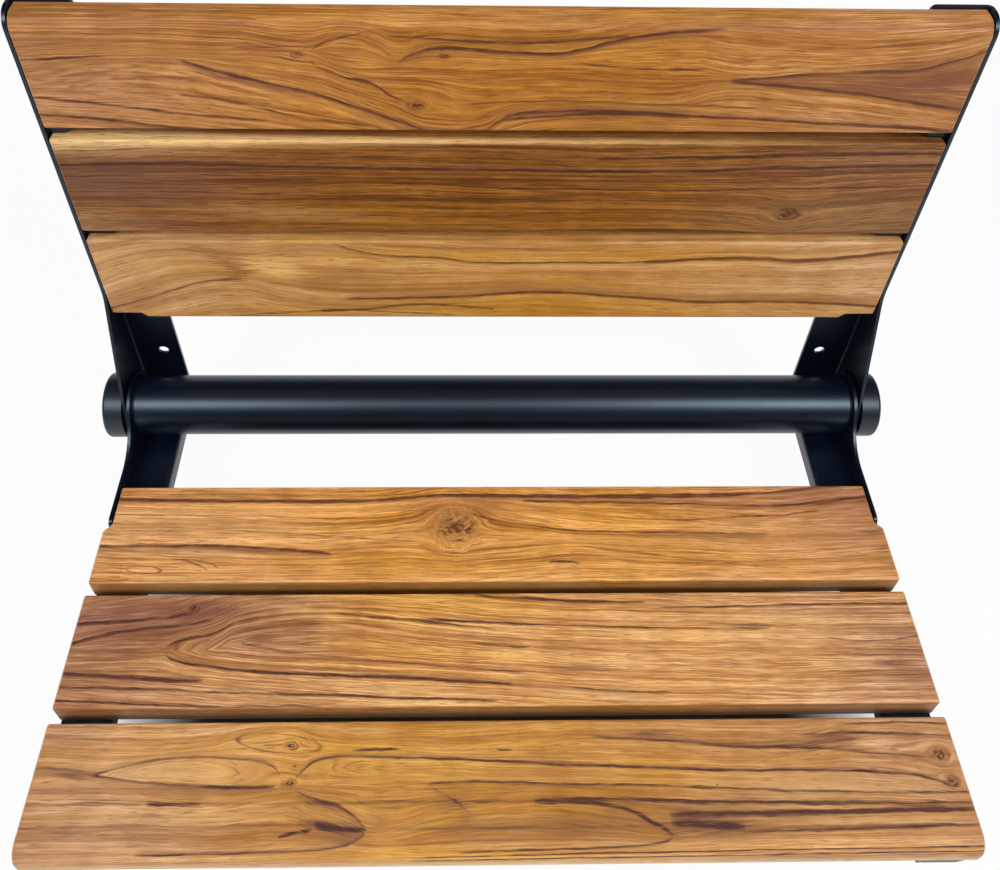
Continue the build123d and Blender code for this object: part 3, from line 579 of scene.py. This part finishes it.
frontSeatSlat = {
    "seed": 35.9,
    "light": (0.82, 0.500, 0.273), "mid": (0.57, 0.296, 0.133), "deep": (0.30, 0.127, 0.047),
    "line": (0.070, 0.024, 0.022), "patch": (0.21, 0.090, 0.050), "pale": (0.86, 0.60, 0.33),
    "warm": 0.55, "bands": 0.78, "growth": 0.55, "drift": 5.0, "side": 0,
    "busy": 0.6,
    "shades": [
        (-300, -22, 60, 22, 0, 0.25), (60, -24, 125, 20, 0, 0.75), (-290, 32, 45, 9, 0, 0.45),
        (-120, -20, 34, 16, -20, 0.3), (135, -26, 26, 12, 0, 0.5), (-20, 2, 110, 16, 0, 0.35),
        (-135, 8, 30, 14, 0, 0.25),
    ],
    "golds": [(-60, 6, 170, 45, 0, 0.9)],
    "guides": [
        (-60, [(-305, -60), (0, -60), (305, -56)]),
        (-42, [(-305, -43), (-170, -41), (-105, -37), (-86, -38), (-30, -43), (70, -39), (108, -39),
               (160, -36), (305, -34)]),
        (-14, [(-305, -6), (-228, -9), (-192, -10), (-150, -4), (-134, -2), (-125, -6), (-110, -10),
               (-97, -16), (-80, -22),
               (-40, -15), (20, -10), (50, -11), (70, -13), (100, -17), (160, -18), (200, -18),
               (270, -17), (305, -17)]),
        (4, [(-305, 4), (-258, 4), (-235, 3), (-190, 0.5), (-155, 0), (-140, 1), (-120, 4), (-90, 4),
             (-50, 3), (0, 2.5),
             (50, 1), (100, 0), (145, -2), (220, -5), (305, -8)]),
        (7, [(-305, 12), (-285, 12), (-268, 10), (-240, 15), (-215, 18.5), (-180, 18), (-158, 15.5),
             (-140, 12), (-131, 10),
              (-122, 16), (-110, 18), (-80, 18), (-40, 17), (0, 15), (50, 12), (100, 10), (150, 8),
              (200, 8), (250, 6),
              (280, 2), (305, -4)]),
        (22, [(-305, 26), (-200, 25), (-165, 32), (-140, 33), (-120, 28), (-60, 25), (60, 28), (110, 27),
              (160, 23),
              (200, 24), (235, 30), (280, 30), (305, 28)]),
        (46, [(-305, 46), (0, 48), (305, 52)]),
    ],
    "ridges": [
        (3, [(-305, 0), (-275, 0), (-210, 10), (-150, 0), (-135, 0), (-60, 9), (100, 9), (305, 5)]),
        (1, [(-305, 0), (-160, 0), (-90, 6), (-50, 0), (20, 0), (100, 6), (150, 0), (305, 0)]),
    ],
    "lines": [
        (1.3, -3, 0.65, [(-305, 12), (-285, 11.5), (-258, 7), (-235, 4), (-190, 0.5), (-155, 0),
                         (-146, 1.5)]),
        (1.1, 2, 0.60, [(-268, 8), (-240, 15), (-215, 18.5), (-180, 18), (-158, 15.5), (-150, 13),
                        (-146, 8), (-143, 3)]),
        (1.2, 2, 0.80, [(-137, 1), (-131, 9), (-122, 16), (-110, 18), (-80, 18), (-40, 17), (0, 15),
                        (50, 12), (100, 10),
                        (150, 8), (200, 8), (250, 6), (280, 2), (294, -4)]),
        (1.6, -5, 0.75, [(-134, 0), (-125, -6), (-110, -10), (-97, -16), (-88, -25)]),
        (1.5, 4, 0.80, [(-230, -41), (-170, -40), (-130, -39), (-105, -36), (-90, -30), (-86, -26)]),
        (1.3, 0, 0.80, [(-50, 0.5), (-30, 2.5), (0, 2), (50, 0), (100, -1), (145, -3), (220, -6),
                        (305, -7)]),
        (1.2, -4, 0.50, [(-48, 0), (-36, -6), (-28, -11), (-20, -18)]),
        (1.8, 0, 1.00, [(20, -10), (50, -11), (70, -13), (85, -18), (100, -26), (108, -31)]),
        (1.8, 0, 0.95, [(-30, -41.5), (30, -39.5), (70, -38), (95, -36), (108, -32)]),
        (1.8, 0, 0.80, [(30, -9), (80, -9), (120, -11), (170, -12), (240, -13), (305, -13)]),
        (2.6, 0, 1.00, [(105, -18.5), (160, -18.5), (200, -18), (270, -17), (305, -17)]),
        (3.6, 3, 0.95, [(106, -23), (131, -24.5), (154, -27)]),
        (2.4, -4, 0.90, [(-120, -22), (-100, -25.5), (-86, -26)]),
        (1.0, 3, 0.60, [(60, 30), (110, 27), (160, 23), (200, 22), (260, 17), (290, 14)]),
        (1.0, 0, 0.75, [(225, 37), (260, 38), (305, 37)]),
        (1.2, -3, 0.75, [(200, 30), (240, 31.5), (280, 30), (305, 29)]),
        (1.0, 0, 0.65, [(150, -29), (220, -28), (305, -26)]),
        (1.8, 0, 1.00, [(-228, -9), (-210, -9.5), (-192, -10)]),
        (1.1, 0, 1.00, [(-142, -29), (-132, -27.5), (-120, -25.5)]),
        (1.0, 0, 0.90, [(-100, 22.5), (-85, 23), (-66, 23.5)]),
        (0.9, 0, 0.80, [(-4, 22.5), (8, 21.5)]),
        (1.0, 0, 1.00, [(-60, -46), (60, -43.5), (180, -42), (305, -41.2)]),
        (1.0, 0, 1.00, [(-60, -50), (60, -48), (180, -46.5), (305, -45.3)]),
    ],
    "patches": [
        (-280, 10, 34, 4, -6, 0.85), (-262, -8, 14, 3, 0, 0.85), (-120, -22, 16, 9, -30, 0.6),
        (-100, -25, 16, 6, -15, 1.0),
        (-24, -16, 10, 14, 35, 0.6), (131, -25, 20, 8, 0, 1.0), (104, -31, 8, 4, -30, 0.7),
        (214, 26, 30, 4, 14, 1.0),
        (98, 32, 26, 4, 0, 0.9), (-290, 33, 30, 4, 0, 0.5), (-225, -18, 30, 5, 8, 0.45),
        (-230, -28, 50, 4, 0, 0.45),
        (-290, -26, 26, 8, 10, 0.5), (-155, 27, 24, 5, -6, 0.5), (60, -20, 60, 14, 0, 0.3),
        (180, 25, 90, 8, 0, 0.3),
        (170, -12, 130, 3, 0, 0.4),
    ],
    "pales": [(0, -63, 420, 12, 0, 1.0), (-235, 8, 60, 10, 0, 0.25), (-250, -25, 60, 14, 0, 0.18),
              (200, 0, 90, 12, 0, 0.2)],
    "rings": [(-148, 27.5, 28, 6, -6, 0.9, 0.55)],
    "knots": [(-139, 26, 3.0, 1.5), (-138, 2.5, 2.6, 2.0), (293, 16, 4.8, 1.3), (295, 0, 4.5, 1.3),
              (140, -1, 0.9, 1.0),
              (-136, 13, 1.0, 1.5)],
}

slat = {
    "halfLength": 305.0,
    "reach": 70.0,            # how far across the drawing goes, past the board's edges
    "tilt": 1.0,              # how the growth layers dip into the board
    "taper": 14.0,            # how long a line takes to fade out
    "roughness": 0.46,
    "ior": 1.45,
    "gloss": 0.25,
    "gold": (1.0, 0.88, 0.30),
    "warm": (0.0, 60.0, 300.0),   # golden heartwood: its middle, all of it to here, none from here
    "shade": (0.60, 0.53, 0.62),
    # painted shade for the seat slats' faces in the drain gaps, streaked with the grain
    "sideShadeColour": (0.22, 0.075, 0.008),
    "gapShadeColour": (0.035, 0.012, 0.004),     # painted shade on the edges, darker low down in the drain gaps
    "gapShadeDepth": (5.0, 16.0),
    "boards": {
        "top_back_slat": (topBackSlat, True),
        "middle_back_slat": (middleBackSlat, True),
        "bottom_back_slat": (bottomBackSlat, True),
        "rear_seat_slat": (rearSeatSlat, False),
        "middle_seat_slat": (middleSeatSlat, False),
        "front_seat_slat": (frontSeatSlat, False),
    },
}


def runShare(along):
    return (along + slat["halfLength"]) / (2 * slat["halfLength"])


def acrossShare(across):
    return (across + slat["reach"]) / (2 * slat["reach"])


# Millimetres along, across and into the board. Past the edge that shows, across goes on counting
def boardSpace(paint, name, backrest):
    low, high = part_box(name)
    middle = (low + high) / 2
    x, y, z = paint.split(paint.objectPlace())
    along = x * 1000
    if backrest:
        deep = (y - low.y) * 1000
        return along, (z - middle.z) * 1000 + deep * slat["tilt"], deep
    deep = (high.z - z) * 1000
    return along, (y - middle.y) * 1000 - deep * slat["tilt"], deep


# Noise of a size along and across the board
def mottle(paint, place, length, width, shift, detail):
    squeeze = (1 / length, 1 / width, 1 / width)
    return paint.noise(paint.vector("MULTIPLY_ADD", place, squeeze, shift), detail)


# Noise drawn out along the grain
def streaks(paint, place, length, width, seed, detail=2.0):
    return mottle(paint, place, length, width, (seed, seed * 1.7, seed * 0.3), detail)


def drawnPath(paint, run, path):
    return paint.curve(run, [(runShare(along), acrossShare(across)) for along, across in path])


# Which growth layer shows at a place: it runs along the guides, evenly spread between them
def grainLevel(paint, run, across, board):
    levels = [level for level, path in board["guides"]]
    routes = [drawnPath(paint, run, path) for level, path in board["guides"]]
    place = acrossShare(across)
    past = paint.maths("MINIMUM", place - routes[0], 0.0) + paint.maths("MAXIMUM", place - routes[-1], 0.0)
    result = past * (2 * slat["reach"]) + levels[0]
    for number in range(len(routes) - 1):
        room = paint.maths("MAXIMUM", routes[number + 1] - routes[number], 0.006)
        share = paint.clamp((place - routes[number]) / room)
        result = result + share * (levels[number + 1] - levels[number])
        for lower, heights in board["ridges"]:
            if lower == number:
                height = paint.curve(run, [(runShare(along), tall / 100) for along, tall in heights]) * 100
                result = result + (1 - abs(share * 2 - 1)) * height
    return result


# A drawn line: a dark core, and a stain that fades out on its soft side. Both fade at the line's ends
def drawnLine(paint, run, level, line):
    width, soft, strength, path = line
    ends = slat["halfLength"] - 3
    route = drawnPath(paint, run, path)
    first = path[0][0]
    last = path[-1][0]
    taper = min(slat["taper"], (last - first) / 3)
    fade = [(runShare(first), 0.0 if first > -ends else strength), (runShare(first + taper), strength)]
    fade += [(runShare(last - taper), strength), (runShare(last), 0.0 if last < ends else strength)]
    shown = paint.curve(run, fade)
    off = (level - route) * (2 * slat["reach"])
    core = paint.clamp(1 - abs(off) / (width * 0.95 + 0.6)) * shown
    if not soft:
        return core, None
    stain = paint.maths("MAXIMUM", off / (soft * 2.2), off / math.copysign(width, -soft))
    return core, paint.clamp(1 - stain) * shown


# Distance from a patch's middle, 1 at its rim
def ellipse(paint, place, along, across, halfLength, halfHeight, tilt):
    settings = {"vector_type": "TEXTURE"}
    sockets = {"Vector": place, "Location": (along, across, 0.0)}
    sockets["Rotation"] = (0.0, 0.0, math.radians(tilt))
    sockets["Scale"] = (halfLength, halfHeight, 1.0)
    return paint.vector("LENGTH", paint.node("ShaderNodeMapping", settings, sockets), out="Value")


def total(flows):
    result = flows[0]
    for flow in flows[1:]:
        result = result + flow
    return result


def drawnPatches(paint, place, patches):
    masks = [paint.clamp(1.25 - ellipse(paint, place, *patch[:5])) * patch[5] for patch in patches]
    return paint.clamp(total(masks))


def teak(name, board, backrest):
    material, paint = newFinish("teak_" + name)
    seed = board["seed"]
    along, across, deep = boardSpace(paint, name, backrest)
    flat = paint.join(along, across, deep)
    level2d = paint.join(along, across, 0.0)
    run = runShare(along)
    # slow drift and small wobble of the grain
    drift = mottle(paint, flat, 95, 30, (seed, 0, 0), 1.0) - 0.5
    wobble = mottle(paint, flat, 15, 5, (0, seed, 0), 2.0) - 0.5
    fibres = streaks(paint, flat, 85, 1.2, seed) - 0.5
    crumbs = mottle(paint, flat, 5, 4, (seed, 0, seed), 3.0) - 0.5
    level = grainLevel(paint, run, across + drift * board["drift"] + wobble * 1.4, board)
    # the grain parts round each knot
    knotShade = []
    for knotAlong, knotAcross, radius, stretch in board["knots"]:
        far = ellipse(paint, level2d, knotAlong, knotAcross, radius * stretch, radius, 0) + wobble * 0.9
        level = level - (across - knotAcross) / paint.maths("MAXIMUM", far * far, 1.0)
        turns = paint.maths("SINE", far * 8.0 + crumbs * 12.0) * 0.5 + 0.5
        knotShade.append(paint.clamp((1.15 - far) * 2.2) * (turns * 0.8 + 0.25))
    grain = paint.join(along, level, deep)
    bands = streaks(paint, grain, 420, 9, seed + 1)
    growth = streaks(paint, grain, 620, 3.0, seed + 2, 3.0)
    threads = streaks(paint, grain, 150, 1.6, seed + 5)
    fine = streaks(paint, grain, 24, 0.9, seed + 3)
    fibre = streaks(paint, grain, 30, 0.85, seed + 6) * 1.5 - 0.25
    silk = mottle(paint, flat, 24, 30, (0, 0, seed), 2.0)
    hue = mottle(paint, grain, 150, 26, (seed, seed, 0), 2.0)
    pores = paint.between(streaks(paint, grain, 15, 0.75, seed + 4, 1.0), 0.57, 0.68)
    grit = (growth - 0.5) * board["growth"] * 1.5 + (threads - 0.5) * 1.0 + (fine - 0.5) * 0.95
    tone = (bands - 0.5) * board["bands"] + grit * board["busy"] + (silk - 0.5) * 0.35 + 0.5
    stops = [(0.18, board["deep"]), (0.5, board["mid"]), (0.82, board["light"])]
    colour = paint.node("ShaderNodeValToRGB", {"stops": stops}, {"Fac": tone})
    rims = paint.between(growth + (fibre - 0.5) * 0.5, 0.58, 0.74) * (0.6 * board["busy"])
    colour = paint.mix(rims, colour, board["deep"])
    # what was drawn one by one, its edges broken up by fibres
    brushed = paint.join(along + fibres * 60, across + wobble * 2.0 + drift * 2.0, 0.0)
    soft = paint.join(along + fibres * 90 + (silk - 0.5) * 40, across + drift * 14 + (silk - 0.5) * 8, 0.0)
    middle, near, far = slat["warm"]
    warm = 1 - paint.between(abs(along - middle), near, far)
    golden = paint.between(hue, 0.40, 0.64) * 0.30 + drawnPatches(paint, soft, board["golds"]) * 0.35
    golden = golden + warm * board["warm"]
    colour = paint.mix(golden, colour, slat["gold"], "MULTIPLY")
    colour = paint.mix(drawnPatches(paint, soft, board["shades"]), colour, slat["shade"], "MULTIPLY")
    frayed = across + wobble * 2.2 + drift * 1.2 + (fine - 0.5) * 2.0 + (threads - 0.5) * 1.8
    lineLevel = acrossShare(frayed)
    if board["pales"]:
        spread = drawnPatches(paint, brushed, board["pales"])
        colour = paint.mix(spread * (0.35 + fibre * 0.9), colour, board["pale"])
    if board["patches"]:
        spread = drawnPatches(paint, brushed, board["patches"])
        strands = paint.between(spread * 0.55 + (fibre - 0.5) * 0.9, 0.15, 0.65)
        colour = paint.mix(paint.clamp(strands * 0.75 + spread * 0.25), colour, board["patch"])
    drawn = [drawnLine(paint, run, lineLevel, line) for line in board["lines"]]
    cores = [core for core, stain in drawn]
    stains = [stain for core, stain in drawn if stain]
    for ring in board["rings"]:
        far = ellipse(paint, level2d, *ring[:5])
        cores.append(paint.clamp(1 - abs(far - 1) * (ring[3] / ring[5])) * ring[6])
    ragged = 0.45 + fibre * 0.9
    core = paint.clamp(total(cores))
    stain = paint.between(paint.clamp(total(stains) + core * 0.5) * ragged, 0.05, 0.90)
    colour = paint.mix(stain * 0.65, colour, board["patch"])
    ink = paint.between(core * (ragged + (silk - 0.5) * 1.2), 0.14, 0.80)
    colour = paint.mix(ink * 0.92, colour, board["line"])
    if knotShade:
        colour = paint.mix(paint.clamp(total(knotShade) * 0.9), colour, board["line"])
    colour = paint.mix(pores * 0.65, colour, board["deep"])
    # painted highlight: the last millimetre of each end is painted paler, as light on the eased ends;
    # painted shade on the edges in the gaps; end grain darker
    rim = paint.between(abs(along), slat["halfLength"] - 1.8, slat["halfLength"] - 0.8)
    colour = paint.mix(rim * 0.35, colour, board["light"])
    facingX, facingY = paint.split(paint.node("ShaderNodeTexCoord", out="Normal"))[:2]
    # painted shade: faces in the drain gaps darkened, streaked with the grain, and darker still low down in
    # the gaps
    if board["side"]:
        edge = paint.between(abs(facingY), 0.60, 0.95)
        streak = paint.between(threads + (bands - 0.5) * 0.5, 0.30, 0.70) * 0.8 + 0.3
        colour = paint.mix(edge * board["side"] * streak, colour, slat["sideShadeColour"])
        # painted shade, darker low down on the edges in the drain gaps
        colour = paint.mix(edge * paint.between(deep, *slat["gapShadeDepth"]) * 0.8, colour, slat["gapShadeColour"])
    ends = paint.between(abs(facingX), 0.75, 0.98)
    colour = paint.mix(ends * 0.45, colour, board["deep"])
    rough = slat["roughness"] + pores * 0.15 + (fine - 0.5) * 0.12
    height = fine * 0.5 + growth * 0.6 - pores * 0.8
    bump = paint.node("ShaderNodeBump", None, {"Strength": 0.22, "Distance": 0.0004, "Height": height})
    sockets = {"Base Color": colour, "Roughness": rough, "Normal": bump}
    shade(paint, {**sockets, "IOR": slat["ior"], "Specular IOR Level": slat["gloss"]})
    wear(material, name)


for boardName, (boardLook, onBack) in slat["boards"].items():
    teak(boardName, boardLook, onBack)
print("teak:", len(slat["boards"]), "boards")

# Satin black powder coat on brackets, arms and tube
powderCoat = {
    "colour": (0.0006, 0.0028, 0.0090),
    "worn": (0.0012, 0.0040, 0.0120),
    "roughness": 0.35,
    "gloss": 0.58,
    "tint": (0.69, 0.88, 1.0),
    "grainSize": 0.0009,
    "nodes": ["hinge_tube"] + [side + name for side in ("left_", "right_")
                               for name in ("wall_bracket", "seat_arm", "tube_plug")],
}


def blackCoat(name, look):
    material, paint = newFinish(name)
    place = paint.objectPlace()
    peel = paint.noise(paint.vector("MULTIPLY", place, (1 / look["grainSize"],) * 3), 2.0)
    cloud = paint.noise(paint.vector("MULTIPLY", place, (14.0, 14.0, 14.0)), 3.0)
    colour = paint.mix(paint.between(cloud, 0.35, 0.75), look["colour"], look["worn"])
    rough = look["roughness"] + (cloud - 0.5) * 0.10 + (peel - 0.5) * 0.08
    bump = paint.node("ShaderNodeBump", None, {"Strength": 0.10, "Distance": 0.00006, "Height": peel})
    sockets = {"Base Color": colour, "Roughness": rough, "Normal": bump}
    sockets["Specular IOR Level"] = look["gloss"]
    sockets["Specular Tint"] = (*look["tint"], 1.0)
    shade(paint, sockets)
    wear(material, *look["nodes"])


blackCoat("black_coat", powderCoat)
print("black coat:", len(powderCoat["nodes"]), "pieces")

# Moulded black caps, a little smoother than the coat
capPlastic = {
    "colour": (0.005, 0.0085, 0.0125),
    "worn": (0.009, 0.0135, 0.0185),
    "roughness": 0.38,
    "gloss": 0.56,
    "tint": (0.72, 0.88, 1.0),
    "grainSize": 0.0006,
    "nodes": ["left_end_cap", "right_end_cap"],
}
nylon = {
    "colour": (0.018, 0.018, 0.020),
    "worn": (0.030, 0.030, 0.032),
    "roughness": 0.50,
    "gloss": 0.40,
    "tint": (1.0, 1.0, 1.0),
    "grainSize": 0.0007,
    "nodes": [side + name for side in ("left_", "right_") for name in ("axle_bush", "thrust_washer")],
}
rubber = {
    "colour": (0.010, 0.010, 0.010),
    "worn": (0.022, 0.021, 0.020),
    "roughness": 0.78,
    "gloss": 0.30,
    "tint": (1.0, 1.0, 1.0),
    "grainSize": 0.0005,
    "nodes": ["left_heel_bumper", "right_heel_bumper"],
}
blackCoat("cap_plastic", capPlastic)
blackCoat("nylon", nylon)
blackCoat("rubber", rubber)
print("mouldings: caps, bushes and bumpers")

# Stainless screws, axles and washers, with fine turning lines
stainless = {
    "colour": (0.56, 0.56, 0.57),
    "dull": (0.40, 0.40, 0.41),
    "roughness": 0.30,
    "nodes": ["back_slat_screws", "seat_slat_screws", "arm_screws", "retaining_screws"]
    + [side + name for side in ("left_", "right_") for name in ("stub_axle", "retaining_washer")],
}


def steel():
    material, paint = newFinish("stainless")
    place = paint.objectPlace()
    lines = paint.noise(paint.vector("MULTIPLY", place, (900.0, 4000.0, 4000.0)), 2.0)
    cloud = paint.noise(paint.vector("MULTIPLY", place, (120.0, 120.0, 120.0)), 2.0)
    colour = paint.mix(cloud, stainless["colour"], stainless["dull"])
    rough = stainless["roughness"] + (lines - 0.5) * 0.18 + (cloud - 0.5) * 0.1
    bump = paint.node("ShaderNodeBump", None, {"Strength": 0.08, "Distance": 0.00003, "Height": lines})
    shade(paint, {"Base Color": colour, "Roughness": rough, "Normal": bump, "Metallic": 1.0})
    wear(material, *stainless["nodes"])


steel()
print("steel:", len(stainless["nodes"]), "pieces")
